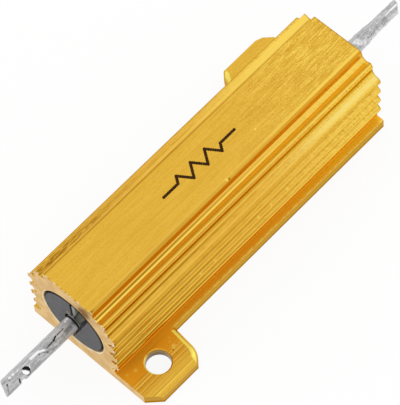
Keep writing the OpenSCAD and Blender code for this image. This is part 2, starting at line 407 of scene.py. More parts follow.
@dataclass
class GoldAnodising:
    """Gold anodised skin of the extrusion, drawn with fine lines along its length, with painted highlights,
    shade and reflections along its ribs and lugs; in millimetres.
    """

    half_length: float
    height: float
    gold: Colour = (0.82, 0.488, 0.056)
    # Painted shade: a darker copy of the gold, for the ribbed sides.
    side_shade_gold: Colour = (0.8, 0.455, 0.048)
    # Dark gold of the drawn lines, and of the painted shade on walls and in grooves.
    deep_tone_and_shade: Colour = (0.6, 0.3, 0.022)
    # Pale gold of the drawn lines and of the painted highlights.
    bright: Colour = (0.93, 0.575, 0.1)
    # Painted highlight colour.
    glint: Colour = (1.0, 0.7, 0.115)
    # Painted reflection of the ribs, for the lug's top near the body.
    reflected_amber: Colour = (0.95, 0.415, 0.013)
    # Painted orange reflection at the foot of the right side wall.
    reflected_ember: Colour = (0.74, 0.33, 0.014)
    sheen: Colour = (1.0, 0.8, 0.22)
    # Painted bright orange reflection, on the groove's slope and the far shelf.
    bright_reflection_orange: Colour = (1.0, 0.54, 0.02)
    # Painted shade: a darker gold for the upright rib tips.
    tip_shade_gold: Colour = (0.77, 0.445, 0.058)
    # Painted shade colour for the notch under the brow.
    notch_shade: Colour = (0.55, 0.3, 0.013)
    # Painted highlight on the lugs' rolled inner edges.
    edge_highlight: Colour = (1.0, 0.86, 0.14)
    shade: Colour = (0.1, 0.055, 0.015)
    # Dark brown of the painted shade in the right side's grooves, of the torn metal's dirt and of the darker
    # right saw cut.
    shade_and_stain: Colour = (0.35, 0.16, 0.003)
    # Brown of the painted shade along the left outline, beside knocks and at the walls' foot, and of the
    # dirt in the left groove.
    umber_shade_and_dirt: Colour = (0.34, 0.14, 0.006)
    # Painted shade on the walls that the punch left.
    wall_shade_brown: Colour = (0.5, 0.29, 0.08)
    torn: Colour = (0.9, 0.66, 0.42)
    grazing: Colour = (1.0, 0.77, 0.36)
    roughness: float = 0.25
    line_depth: float = 0.006
    base_top: float = 1.7
    lip_reach: float = 7.8
    rib_reach: float = 7.1
    brow_slope: Pair = (5.28, 13.8)
    left_gutter: Pair = (5.32, 13.0)
    left_shelf: Pair = (6.75, 11.0)
    shelf_reach: Pair = (9.2, 11.6)
    hole: Pair = (20.2, 9.65)
    hole_rim: Pair = (4.6, 4.0)
    lug_end: float = -15.4

    def __post_init__(self) -> None:
        """Starts the material, and places each point of the skin by masks between 0 and 1."""
        self.graph = Graph("gold_anodising")
        self.x, self.y, self.z = self.graph.axes()
        self.facing_x, self.facing_y, self.facing_z = self.graph.facing()
        self.girth = abs(self.y) - self.z
        self.far = self.x.rise(-0.1 * self.half_length, 0.85 * self.half_length)
        self.near = self.x.rise(-0.1 * self.half_length, -0.95 * self.half_length)
        camera_side = self.y.rise(0.5, -0.5)
        over_base = self.z.rise(self.base_top, self.base_top + 0.3)
        self.left = 1 - camera_side
        self.right = camera_side * over_base
        self.side = self.z.rise(self.height - 0.05, self.height - 0.4) * over_base
        # Pale colour of the drawn lines and of the painted highlights, lighter towards the far end, where
        # more light is painted.
        self.pale_and_highlight = self.graph.mix(self.far, self.bright, self.glint)
        self.tone = self.gold

    def _paint(self, *layers: tuple[Number, Tone]) -> None:
        """Lays colours over the tone, each with its mask, from the lowest up."""
        self.tone = self.graph.paint(self.tone, layers)

    def _lines(self, along: Channel, *table: LightAndShadeLine) -> Channel:
        """The masks of several lines, added."""
        return total(line.mask(self.girth, along) for line in table)

    def build(self) -> Material:
        """Makes the material.

        Returns:
            The finished material.
        """
        streak = self._drawn()
        lit_slope = self._right_side()
        self._left_side()
        shelf = self._lug_top()
        bore = self._cut_walls()
        # Painted highlights and shade of the knocks.
        for nicks, knock in ((BRIGHT_NICKS, self.glint), (DARK_NICKS, self.umber_shade_and_dirt)):
            self._paint((total(nick.mask((self.x, self.y, self.z)) for nick in nicks), knock))
        self._saw_cuts()
        # Painted shade on the upright rib tips, and painted highlights along them.
        tips = abs(self.facing_y).rise(0.85, 0.97) * self.side
        tips = tips * abs(self.y).rise(self.rib_reach, self.rib_reach + 0.1)
        # The rolled edges get a painted highlight.
        rolled = self._rolled()
        tip_lines = self._lines(self.far, *TIP_LINES) * self.right
        self._paint((tips * 0.8, self.tip_shade_gold), (tip_lines, self.pale_and_highlight), (rolled, self.edge_highlight))
        return self.graph.surface(
            Base_Color=self.tone,
            Metallic=1.0 - 0.85 * rolled - 0.65 * shelf - 0.9 * bore - 0.5 * lit_slope,
            Roughness=self.roughness + (streak - 0.6) * 0.15,
            Specular_Tint=self.grazing,
            Normal=self.graph.bump(streak, self.line_depth),
        )

    def _drawn(self) -> Channel:
        """Paints the lines, drags and grain of drawing and handling, painted shade on the ribbed sides, and
        painted light that grows towards the far end.

        Returns:
            The height of the drawn lines.
        """
        graph, far, side, bright = self.graph, self.far, self.side, self.pale_and_highlight
        lines = graph.noise((5.0, 0.24, 0.24), 1.5)
        scores = graph.noise((2.6, 0.2, 0.2), 1.0, 3.0)
        cloud = graph.noise((6.0, 1.6, 1.6), 2.0, 7.0)
        drawn = graph.noise((60.0, 0.16, 0.16), 2.0, 9.0)
        drag = graph.noise((1.2, 0.18, 0.18), 2.0, 19.0)
        grain = graph.noise((0.2, 0.13, 0.13), 2.0, 15.0)
        hatch = graph.noise((0.14, 0.9, 0.5), 2.0, 13.0, (0.0, 0.0, -0.5))
        specks = graph.noise((0.4, 0.22, 0.22), 1.0, 11.0)
        streak = lines * (1.0 - 0.75 * far) + scores * (0.05 + 0.85 * far)
        calm = 1.0 - 0.8 * far * self.z.rise(self.base_top + 0.3, self.base_top)
        self._paint(
            # Painted shade on the ribbed sides.
            (side, self.side_shade_gold),
            (cloud.rise(0.35, 0.75) * 0.12, self.deep_tone_and_shade),
            (streak.rise(0.55, 0.36) * (0.18 + 0.42 * far) * calm, self.deep_tone_and_shade),
            # These pale lines grow stronger towards the far end, where light is painted.
            (streak.rise(0.55, 0.74) * (0.25 + 0.55 * far) * calm, bright),
            (grain.rise(0.5, 0.3) * (0.35 + 0.25 * far), self.deep_tone_and_shade),
            (grain.rise(0.52, 0.7) * (0.1 + 0.6 * far) * calm, bright),
            (drawn.rise(0.5, 0.3) * side * 0.6, self.deep_tone_and_shade),
            (drawn.rise(0.5, 0.7) * side * 0.35, bright),
            (drag.rise(0.48, 0.32) * side * 0.45, self.deep_tone_and_shade),
            (drag.rise(0.55, 0.7) * side * 0.45, bright),
            # Painted highlight over the far end's sides, with a fine hatch in it.
            ((0.2 + hatch.rise(0.45, 0.6) * 0.8) * far * side * 0.8, bright),
            (hatch.rise(0.45, 0.3) * far * side * 0.3, self.deep_tone_and_shade),
            (specks.rise(0.77, 0.82) * 0.7, bright),
        )
        return streak

    def _right_side(self) -> Channel:
        """Paints lines of highlight, shade and reflection down the right side, some of the dark ones partly
        dirt.

        Returns:
            The glowing slope in its groove.
        """
        x, far, right, lines = self.x, self.far, self.right, self._lines
        cut = x.rise(0.9 - self.half_length, 0.2 - self.half_length)
        early = x.rise(-0.8 * self.half_length, 0.4 * self.half_length)
        across, up = self.brow_slope
        lit_slope = abs(self.y).band(across, 0.26, 0.1) * self.z.band(up, 0.3, 0.1) * right
        lit_slope = lit_slope * (0.35 + 0.65 * x.rise(-20.0, 8.0))
        # Painted shade on the side wall, brow and notch; painted reflection at the wall's foot and on the
        # slope; painted highlights on the shelf, crests and groove; painted shade in the grooves, partly
        # dirt, strongest beside the left saw cut.
        self._paint(
            (lines(far, SIDE_WALL) * right, self.deep_tone_and_shade),
            (lines(far, WALL_FOOT) * right * far, self.reflected_ember),
            (lines(far, SHELF_SHEEN) * right * x.rise(4.0, 20.0), self.sheen),
            (lit_slope, self.bright_reflection_orange),
            (lines(far, BROW_LINE) * right, self.deep_tone_and_shade),
            (lines(far, NOTCH_LINE) * right, self.notch_shade),
            (lines(early, *DARK_LINES) * right * (1.0 + 1.5 * cut), self.shade_and_stain),
            (lines(far, *BRIGHT_LINES) * right, self.pale_and_highlight),
            (lines(far, GLINT_LINE) * right, self.glint),
        )
        return lit_slope

    def _left_side(self) -> None:
        """Paints lines of painted highlight and shade down the left side, and a darker band with brown dirt
        in its groove near the left end.
        """
        far, left, side, lines = self.far, self.left, self.side, self._lines
        blotch = self.graph.noise((1.0, 0.13, 0.13), 2.0, 5.0)
        across, up = self.left_gutter
        gutter = self.y.band(across, 0.18, 0.25) * self.z.rise(up, up + 0.2) * self.near
        across, up = self.left_shelf
        below = self.y.band(across, 0.08, 0.1) * self.z.rise(up, up + 0.3) * self.near
        # Painted highlight on the far slope and along the groove, painted shade along the outline, a darker
        # band in the groove; the blotches are dirt.
        self._paint(
            (lines(far, LEFT_SLOPE) * left * far, self.glint),
            (lines(far, *LEFT_DARK_LINES) * left * side, self.umber_shade_and_dirt),
            (lines(far, LEFT_BRIGHT_LINE) * left * side, self.pale_and_highlight),
            (gutter * 0.5, self.deep_tone_and_shade),
            (blotch.rise(0.38, 0.56) * gutter * 0.9, self.umber_shade_and_dirt),
            (blotch.rise(0.42, 0.52) * below * 0.8, self.umber_shade_and_dirt),
        )

    def _lug_top(self) -> Channel:
        """Paints the top of the base, scored along its outer half, with a painted reflection of the ribs on
        its shelf and a painted highlight along the lip.

        Returns:
            Its shelf, where the ribs' reflection is painted.
        """
        graph, across = self.graph, abs(self.y)
        mottle = graph.noise((0.7, 0.3, 0.3), 2.0, 23.0)
        speck = graph.noise((0.5, 0.3, 0.3), 2.0, 29.0)
        scratch = graph.noise((5.0, 0.15, 0.15), 2.0, 17.0)
        lug = self.z.band(self.base_top, 0.02, 0.08) * (1.0 - 0.85 * self.far * self.left)
        near, away = self.shelf_reach
        shelf = lug * across.rise(away, near)
        lip = across.band(self.lip_reach - 0.14, 0.1, 0.06) * lug
        lip = lip * self.x.rise(self.lug_end - 0.2, self.lug_end + 0.2)
        wing = lug * across.rise(self.lip_reach + 0.6, self.lip_reach + 2.0)
        reflected_amber = graph.mix(self.far, self.reflected_amber, self.bright_reflection_orange)
        self._paint(
            # Painted reflection of the ribs on the right shelf, brighter at the far end.
            (shelf * (0.55 + 0.6 * mottle) * self.y.rise(0.5, -0.5), reflected_amber),
            # Painted highlight along the lip's edge.
            (lip * (0.3 + speck.rise(0.4, 0.6)), self.glint),
            (scratch.rise(0.47, 0.36) * wing * 0.4, self.deep_tone_and_shade),
            (scratch.rise(0.54, 0.66) * wing * 0.6, self.bright),
        )
        for lines, colour in ((LUG_DARK_LINES, self.deep_tone_and_shade), (LUG_BRIGHT_LINES, self.glint)):
            for place, half_width, strength in lines:
                self._paint((across.band(place, half_width, 0.06) * lug * strength, colour))
        return shelf

    def _cut_walls(self) -> Channel:
        """Paints shade on the walls that the punch left, darker at the foot and darkest in the fixing holes.

        Returns:
            The walls of the holes.
        """
        x, y, z = self.x, self.y, self.z
        wall = z.rise(self.base_top + 0.02, self.base_top - 0.06) * abs(self.facing_z).rise(0.6, 0.3)
        on_lug = (x * y).rise(0.0, 1.0)  # The lugs lie where x and y have the same sign.
        bore = oval(abs(x), abs(y), self.hole).rise(*self.hole_rim) * on_lug * wall
        self._paint(
            # Painted shade on the cut walls, deepest at their foot and in the fixing holes.
            (wall * 0.85, self.wall_shade_brown),
            (wall * z.rise(0.6, 0.3) * 0.9, self.umber_shade_and_dirt),
            (bore * (0.25 + z.rise(1.2, 0.5) * 0.75), self.shade),
        )
        return bore

    def _saw_cuts(self) -> None:
        """Paints torn metal along the left saw cut, and darkens the skin along the right one."""
        cut = abs(self.x).rise(self.half_length - 0.2, self.half_length - 0.08)
        above = cut * self.z.rise(self.base_top, self.base_top + 0.1)
        left = above * self.x.rise(0.0, -1.0)
        right = above * self.x.rise(0.0, 1.0)
        tear = self.graph.noise((0.5, 0.5, 0.5), 2.0, 21.0)
        self._paint(
            (left * tear.rise(0.5, 0.58), self.torn),
            (left * tear.rise(0.46, 0.4) * 0.7, self.shade_and_stain),
            (right * 0.5, self.shade_and_stain),
        )

    def _rolled(self) -> Channel:
        """Finds a lug's rolled inner edge, where a highlight is painted.

        Returns:
            1 on that edge and 0 elsewhere.
        """
        x, across = self.x, abs(self.y)
        inward = self.facing_x * x.rise(1.0, -1.0) - self.facing_x * x.rise(-1.0, 1.0)
        edge = inward.rise(0.06, 0.2) * inward.rise(0.72, 0.5)
        edge = edge * self.z.rise(self.base_top - 0.45, self.base_top - 0.3)
        return edge * across.rise(self.lip_reach, self.lip_reach + 0.3)


@dataclass(frozen=True)
class SawnAluminium:
    """Sawn and chamfered faces, paler than the skin, with fine marks across them."""

    name: str = "sawn_aluminium"
    pale: Colour = (0.86, 0.58, 0.21)
    tan: Colour = (0.74, 0.45, 0.13)
    rust: Colour = (0.5, 0.23, 0.045)
    rust_place: Pair = (-2.6, 13.3)
    metallic: float = 1.0
    roughness: float = 0.42
    mark_depth: float = 0.008

    def build(self) -> Material:
        """Makes the material.

        Returns:
            The finished material.
        """
        graph = Graph(self.name)
        x, y, z = graph.axes()
        marks = graph.noise((0.6, 3.5, 0.14), 2.0)
        cloud = graph.noise((1.5, 1.5, 1.5), 3.0, 2.0)
        smear = graph.noise((0.5, 0.5, 0.5), 2.0, 4.0)
        patch = oval(y, z, self.rust_place).rise(1.5, 0.4) * x.rise(0.0, -1.0)
        layers = ((cloud.rise(0.35, 0.65), self.tan), (patch * smear.rise(0.3, 0.45), self.rust))
        return graph.surface(
            Base_Color=graph.paint(self.pale, layers),
            Metallic=self.metallic,
            Roughness=self.roughness + (marks - 0.5) * 0.2,
            Normal=graph.bump(marks, self.mark_depth),
        )


CHAMFER = SawnAluminium("bright_chamfer", (1.0, 0.84, 0.55), (0.9, 0.66, 0.34), metallic=0.35)


@dataclass(frozen=True)
class DullTin:
    """Dull tin plate over copper, with press marks and drag lines, painted highlights on its ridges and
    painted shade in its creases and eyelets.
    """

    light: Colour = (0.64, 0.64, 0.645)
    dark: Colour = (0.38, 0.38, 0.39)
    # White of the painted highlights on the blades.
    pale_and_highlight: Colour = (0.96, 0.96, 0.97)
    # Black of the painted shade in creases, eyelets and at the roots, and of dark marks.
    dark_marks_and_shade: Colour = (0.02, 0.02, 0.022)
    root_reach: Pair = (1.12, 2.8)
    right_blade: Pair = (7.0, 8.0)
    roughness: float = 0.36
    relief: float = 0.012

    def build(self, half_length: float) -> Material:
        """Makes the material, less metallic at the roots and on the right blade.

        Args:
            half_length: Half the body's length, in millimetres.

        Returns:
            The finished material.
        """
        graph = Graph("dull_tin")
        x, y, z = graph.axes()
        near, away = (half_length + reach for reach in self.root_reach)
        start, end = (half_length + reach for reach in self.right_blade)
        dulled = abs(x).rise(away, near) + x.rise(start, end)
        light_and_shade = graph.own("light_and_shade")
        drag = graph.noise((2.4, 0.22, 0.22), 3.0)
        grain = graph.noise((0.35, 0.16, 0.16), 3.0, 4.0)
        layers = (
            ((drag * 0.6 + grain * 0.4).rise(0.36, 0.62), self.light),
            # The mesh's number paints a highlight above 0, and shade and dark marks below 0.
            (light_and_shade.rise(0.15, 0.9), self.pale_and_highlight),
            (light_and_shade.rise(-0.1, -0.9), self.dark_marks_and_shade),
        )
        return graph.surface(
            Base_Color=graph.paint(self.dark, layers),
            Metallic=1.0 - 0.85 * dulled,
            Roughness=self.roughness + (grain - 0.5) * 0.3,
            Normal=graph.bump(drag * 0.5 + grain, self.relief),
        )


@dataclass(frozen=True)
class PottingCompound:
    """Dark grey filled compound, slightly rough, with painted shade black in its cracks, its chip and deeper
    in the bore, and paler between the cracks, with a painted highlight there.
    """

    grey: Colour = (0.098, 0.098, 0.106)
    shade: Colour = (0.078, 0.079, 0.084)
    sliver: Colour = (0.085, 0.083, 0.055)
    # Painted highlight on the sliver between the cracks.
    grey_highlight: Colour = (0.25, 0.27, 0.225)
    tan: Colour = (0.25, 0.2, 0.15)
    # Painted shade: black for the cracks, the chip and the bore's depth.
    crack_shade: Colour = (0.006, 0.006, 0.006)
    outer_slant: float = 0.447
    inner_slant: float = 0.36
    spot_place: Pair = (-0.62, 1.55)
    spot_tightness: Pair = (6.0, 2.5)
    chip_place: Pair = (0.45, 1.25)
    chip_tightness: Pair = (4.0, 14.0)
    roughness: float = 0.55
    grain: float = 0.02

    def build(self, half_length: float, bore_height: float) -> Material:
        """Makes the material.

        Args:
            half_length: Half the body's length, in millimetres.
            bore_height: Height of the bore's axis, in millimetres.

        Returns:
            The finished material.
        """
        graph = Graph("potting_compound")
        x, y, z = graph.axes()
        up, across, left_face = z - bore_height, y * -1.0, x.rise(0.0, -1.0)
        cloud = graph.noise((0.9, 0.9, 0.9), 3.0)
        fine = graph.noise((0.12, 0.12, 0.12), 2.0, 6.0)
        patch = graph.noise((0.7, 0.7, 0.7), 2.0, 3.0)
        lean = across - up * self.outer_slant
        between = across.rise(0.1, 0.2) * lean.rise(0.8, 0.7) * up.rise(0.2, 0.4) * left_face
        pale = across.band(0.58, 0.2, 0.15) * up.rise(2.1, 2.9)
        smudge = oval(across, up, self.spot_place, self.spot_tightness).rise(1.0, 0.4)
        chip = oval(across, up, self.chip_place, self.chip_tightness).rise(1.4, 0.8)
        layers = (
            (cloud.rise(0.35, 0.65), self.shade),
            (between, self.sliver),
            # Painted highlight on the sliver's upper part.
            (between * pale * (0.5 + patch), self.grey_highlight),
            # Painted shade in the cracks, in the chip and deeper in the bore.
            (between * (across - up * self.inner_slant).band(-0.11, 0.1, 0.12), self.crack_shade),
            (lean.band(0.93, 0.15, 0.08) * left_face * 0.9, self.crack_shade),
            (smudge * left_face, self.tan),
            (chip * left_face, self.crack_shade),
            (abs(x).rise(half_length - 0.1, half_length - 0.3), self.crack_shade),
        )
        return graph.surface(
            Base_Color=graph.paint(self.grey, layers),
            Roughness=self.roughness - 0.2 * between + (fine - 0.5) * 0.2,
            Specular_IOR_Level=0.3,
            Normal=graph.bump(fine * 0.4 + cloud, self.grain),
        )


@dataclass(frozen=True)
class GrainyFinish:
    """A finish of two tones that follow its grain, with dirt in patches; sizes in millimetres."""

    name: str
    base: Colour
    varied: Colour
    metallic: float
    roughness: float
    grain_size: Triple
    grain_depth: float
    detail: float = 3.0
    shift: float = 0.0
    patches: Pair = (0.35, 0.65)
    spread: float = 0.15
    specular: float = 0.5
    dirt: Colour = (0.22, 0.1, 0.02)
    dirt_size: float = 0.35
    dirt_share: float = 0.0

    def build(self) -> Material:
        """Makes the material.

        Returns:
            The finished material.
        """
        graph = Graph(self.name)
        grain = graph.noise(self.grain_size, self.detail, self.shift)
        dirt = graph.noise((self.dirt_size,) * 3, 2.0, 8.0).rise(0.55, 0.65) * self.dirt_share
        return graph.surface(
            Base_Color=graph.paint(self.base, ((grain.rise(*self.patches), self.varied), (dirt, self.dirt))),
            Metallic=self.metallic,
            Roughness=self.roughness + (grain - 0.5) * self.spread,
            Specular_IOR_Level=self.specular,
            Normal=graph.bump(grain, self.grain_depth),
        )


# The bare metal along a sawn edge, whitish where the saw tore it and gold where it didn't.
BURR = GrainyFinish(
    "bright_burr",
    (0.8, 0.52, 0.16),
    (0.93, 0.8, 0.66),
    metallic=1.0,
    roughness=0.35,
    grain_size=(0.5, 0.5, 0.5),
    grain_depth=0.01,
    detail=2.0,
    shift=1.0,
    patches=(0.45, 0.6),
    spread=0.2,
    dirt_share=0.8,
)
# Dark brown ink, thinner in places.
INK = GrainyFinish(
    "dotted_ink",
    (0.035, 0.012, 0.002),
    (0.11, 0.045, 0.006),
    metallic=0.0,
    roughness=0.7,
    grain_size=(0.3, 0.25, 0.25),
    grain_depth=0.01,
    patches=(0.5, 0.7),
    spread=0.2,
    specular=0.1,
)
# The pieces inside the housing.
CERAMIC = GrainyFinish("core_ceramic", (0.72, 0.69, 0.6), (0.62, 0.59, 0.5), 0.0, 0.7, (0.3, 0.3, 0.3), 0.01)
WIRE = GrainyFinish("resistance_wire", (0.55, 0.4, 0.28), (0.42, 0.29, 0.2), 1, 0.35, (0.2, 0.2, 0.2), 0.004)
PLATED = GrainyFinish("plated_steel", (0.55, 0.55, 0.54), (0.42, 0.42, 0.42), 1, 0.3, (2, 0.3, 0.3), 0.004)


# ---- Mesh helpers ----

FLAT_TURN = 0.5
SHARP_TURN = 32.0


def merged_copy(node: str) -> Mesh:
    """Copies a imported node's mesh, with its loose triangles joined and its flats made whole.

    Args:
        node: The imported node's name.

    Returns:
        A new bmesh, which the caller frees through finished_piece.
    """
    work = bmesh.new()
    work.from_mesh(frame["nodes"][node].data)
    bmesh.ops.remove_doubles(work, verts=work.verts, dist=MERGE)
    bmesh.ops.dissolve_limit(work, angle_limit=math.radians(FLAT_TURN), verts=work.verts, edges=work.edges)
    return work


def remeshed_copy(node: str, voxel: float) -> Mesh:
    """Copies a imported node's mesh with an even grid of small faces, fit for fine relief.

    Args:
        node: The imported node's name.
        voxel: Size of the grid, in metres.

    Returns:
        A new bmesh, which the caller frees through finished_piece.
    """
    rough = merged_copy(node)
    mesh = bpy.data.meshes.new("grid")
    rough.to_mesh(mesh)
    rough.free()
    holder = bpy.data.objects.new("grid", mesh)
    bpy.context.scene.collection.objects.link(holder)
    grid = holder.modifiers.new("grid", "REMESH")
    grid.mode = "VOXEL"
    grid.voxel_size = voxel
    evaluated = holder.evaluated_get(bpy.context.evaluated_depsgraph_get())
    work = bmesh.new()
    work.from_mesh(evaluated.to_mesh())
    evaluated.to_mesh_clear()
    bpy.data.objects.remove(holder)
    bpy.data.meshes.remove(mesh)
    return work


def round_edges(work: Mesh, picks: Picker, width: float, segments: int, clamp: bool = True) -> list:
    """Bevels the edges that a test picks.

    Args:
        work: The mesh.
        picks: Tells whether an edge is one to round.
        width: Width of the bevel, in metres.
        segments: Number of strips.
        clamp: Whether short edges nearby limit the bevel.

    Returns:
        The faces of the bevel.
    """
    made = bmesh.ops.bevel(
        work,
        geom=[edge for edge in work.edges if picks(edge)],
        offset=width,
        offset_type="OFFSET",
        segments=segments,
        profile=0.5,
        affect="EDGES",
        clamp_overlap=clamp,
        material=-1,
    )
    return made["faces"]


def turn(edge: Edge) -> float:
    """How far an edge's two faces turn, in degrees: more than 0 where they form a ridge."""
    return math.degrees(edge.calc_face_angle_signed(0.0))


def middle(edge: Edge) -> Vector:
    """An edge's middle."""
    return (edge.verts[0].co + edge.verts[1].co) / 2


def same(first: float, second: float) -> bool:
    """Whether two coordinates are the same."""
    return abs(first - second) < MERGE


def step(value: float, start: float, end: float) -> float:
    """A smooth step from 0 at start to 1 at end, either of which may be the lower."""
    share = min(1.0, max(0.0, (value - start) / (end - start)))
    return share * share * (3.0 - 2.0 * share)


def finished_piece(name: str, work: Mesh, materials: Sequence[Material]) -> bpy.types.Object:
    """Turns a bmesh into an object with smooth faces and weighted normals.

    Args:
        name: The piece's name.
        work: Its mesh, which is freed.
        materials: Its materials, in the order of the faces' numbers.

    Returns:
        The new object, at the origin.
    """
    for face in work.faces:
        face.smooth = True
    for edge in work.edges:
        edge.smooth = abs(turn(edge)) < SHARP_TURN
    mesh = bpy.data.meshes.new(name)
    work.to_mesh(mesh)
    work.free()
    for material in materials:
        mesh.materials.append(material)
    piece = bpy.data.objects.new(name, mesh)
    bpy.context.scene.collection.objects.link(piece)
    weighted = piece.modifiers.new("weighted_normals", "WEIGHTED_NORMAL")
    weighted.keep_sharp = True
    log.info("built %s", name)
    return piece


# ---- Housing ----


class HousingFace(Enum):
    """The finishes of the housing, each with its place in the list of materials."""

    SKIN = 0
    SAWN = 1
    CHAMFER = 2


@dataclass
class Housing:
    """The finned extrusion, with rounded fins, rolled punched edges and sawn ends."""

    fin_round: float = 0.14 * MM
    foot_round: float = 0.07 * MM
    wall_foot: Pair = (4.4 * MM, 13.6 * MM)
    wall_chamfer: float = 0.45 * MM
    roll_round: float = 0.95 * MM
    lip_round: float = 0.15 * MM
    cut_round: float = 0.9 * MM
    hole_round: float = 0.2 * MM
    rim_round: float = 0.22 * MM
    base_thickness: float = 1.7 * MM
    lip_reach: float = 7.8 * MM
    bore_radius: float = 5.2 * MM
    hole_from_end: float = 4.8 * MM
    hole_from_side: float = 3.85 * MM
    hole_radius: float = 1.7 * MM
    brow_top: Pair = (5.55 * MM, 13.9 * MM)
    brow_dip: float = 0.08 * MM
    burr_size: float = 0.34 * MM
    burr_squash: Triple = (0.55, 1.0, 0.75)
    burr_grain: float = 0.12 * MM
    burr_shifts: Triple = (0.0, 7.3, 15.1)
    corner_reach: float = 9 * MM
    slack: float = 0.1 * MM
    square_turn: float = 60.0
    burr_turn: float = 35.0
    corner_turn: float = 30.0
    ridge_turn: float = 14.0
    foot_turn: float = 50.0

    def __post_init__(self) -> None:
        """Reads the body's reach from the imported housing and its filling."""
        low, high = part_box("housing")
        self.half_length, self.half_width, self.height = high
        low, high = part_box("filling_compound")
        self.bore_height = (low.z + high.z) / 2

    def _runs_along(self, edge: Edge) -> bool:
        """Finds the edges that lie along the body from one sawn end to the other.

        Args:
            edge: The edge to test.

        Returns:
            Whether it does.
        """
        first, second = (v.co for v in edge.verts)
        level = same(first.y, second.y) and same(first.z, second.z)
        return level and edge.calc_length() > 2 * self.half_length - 1 * MM

    def _bore_mouth(self, edge: Edge) -> bool:
        """Finds the mouth of the bore.

        Args:
            edge: The edge to test.

        Returns:
            Whether it is part of it.
        """
        place = middle(edge)
        at_end = all(same(abs(v.co.x), self.half_length) for v in edge.verts)
        return at_end and math.hypot(place.y, place.z - self.bore_height) < self.bore_radius + self.slack

    def _hole_edge(self, edge: Edge) -> bool:
        """Finds the rims of the fixing holes.

        Args:
            edge: The edge to test.

        Returns:
            Whether it is part of one.
        """
        place = middle(edge)
        out = abs(place.x) - (self.half_length - self.hole_from_end)
        across = abs(place.y) - (self.half_width - self.hole_from_side)
        close = math.hypot(out, across) < self.hole_radius + self.slack
        return close and same(edge.verts[0].co.z, edge.verts[1].co.z) and turn(edge) > self.square_turn

    def _punched_top(self, edge: Edge) -> bool:
        """Finds the top edges of the base that the punch cut, lugs and lips alike.

        Args:
            edge: The edge to test.

        Returns:
            Whether it is one of them.
        """
        place = middle(edge)
        level = all(same(v.co.z, self.base_thickness) for v in edge.verts)
        inside = abs(place.x) < self.half_length - 3 * MM and abs(place.y) > self.lip_reach - 0.3 * MM
        return level and inside and turn(edge) > self.square_turn and not self._hole_edge(edge)

    def _lug_inner(self, edge: Edge) -> bool:
        """Whether a punched edge is one of those of a lug that face the middle of the body."""
        return self._punched_top(edge) and abs(middle(edge).y) > self.lip_reach + self.slack

    def _lug_corner(self, edge: Edge) -> bool:
        """Finds the upright corners of the lugs' inner cuts.

        Args:
            edge: The edge to test.

        Returns:
            Whether it is one of them.
        """
        first, second = (v.co for v in edge.verts)
        upright = same(first.x, second.x) and same(first.y, second.y)
        inner = abs(first.x) < self.half_length - 4 * MM and self.corner_reach < abs(first.y)
        nearer = abs(first.y) < self.half_width - 0.5 * MM
        return upright and inner and nearer and turn(edge) > self.corner_turn and edge.calc_length() > 1 * MM

    def _wall_foot(self, edge: Edge) -> bool:
        """Whether an edge is the foot of the land's right side wall, which the die left sloping."""
        across, up = self.wall_foot
        return self._runs_along(edge) and same(-middle(edge).y, across) and same(middle(edge).z, up)

    @staticmethod
    def _section_place(edge: Edge) -> tuple[int, int]:
        """Finds an edge's place in the section.

        Args:
            edge: The edge.

        Returns:
            The place, rounded so that it can be found again.
        """
        grid = 0.02 * MM
        place = middle(edge)
        return round(place.y / grid), round(place.z / grid)

    def _end_corners(self, work: Mesh) -> list[Vector]:
        """Finds the outer corners of the left sawn end, where the saw leaves its burrs.

        Args:
            work: The housing's mesh.

        Returns:
            Their places.
        """
        places = []
        for edge in filter(self._runs_along, work.edges):
            if turn(edge) > self.burr_turn and middle(edge).z > self.base_thickness:
                places.append(min((v.co for v in edge.verts), key=lambda place: place.x).copy())
        return places

    def _burrs(self, places: Sequence[Vector], burr: Material) -> None:
        """Makes the small torn lumps that the saw left at the corners.

        Args:
            places: The corners.
            burr: Their finish.
        """
        work = bmesh.new()
        squashed = Matrix.Diagonal((*self.burr_squash, 1.0))
        for number, place in enumerate(places):
            size = self.burr_size * (0.6 + 0.7 * abs(noise.noise(Vector((number * 1.7, 0.3, 0.9)))) * 2)
            matrix = Matrix.Translation(place) @ squashed
            lump = bmesh.ops.create_icosphere(work, subdivisions=2, radius=size / 2, matrix=matrix)
            for vert in lump["verts"]:
                place = vert.co / self.burr_grain
                shifts = (Vector((0.0, 0.0, shift)) for shift in self.burr_shifts)
                vert.co += 0.25 * size * Vector([noise.noise(place + shift) for shift in shifts])
        piece = finished_piece("saw_burrs", work, (burr,))
        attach(piece, "root")

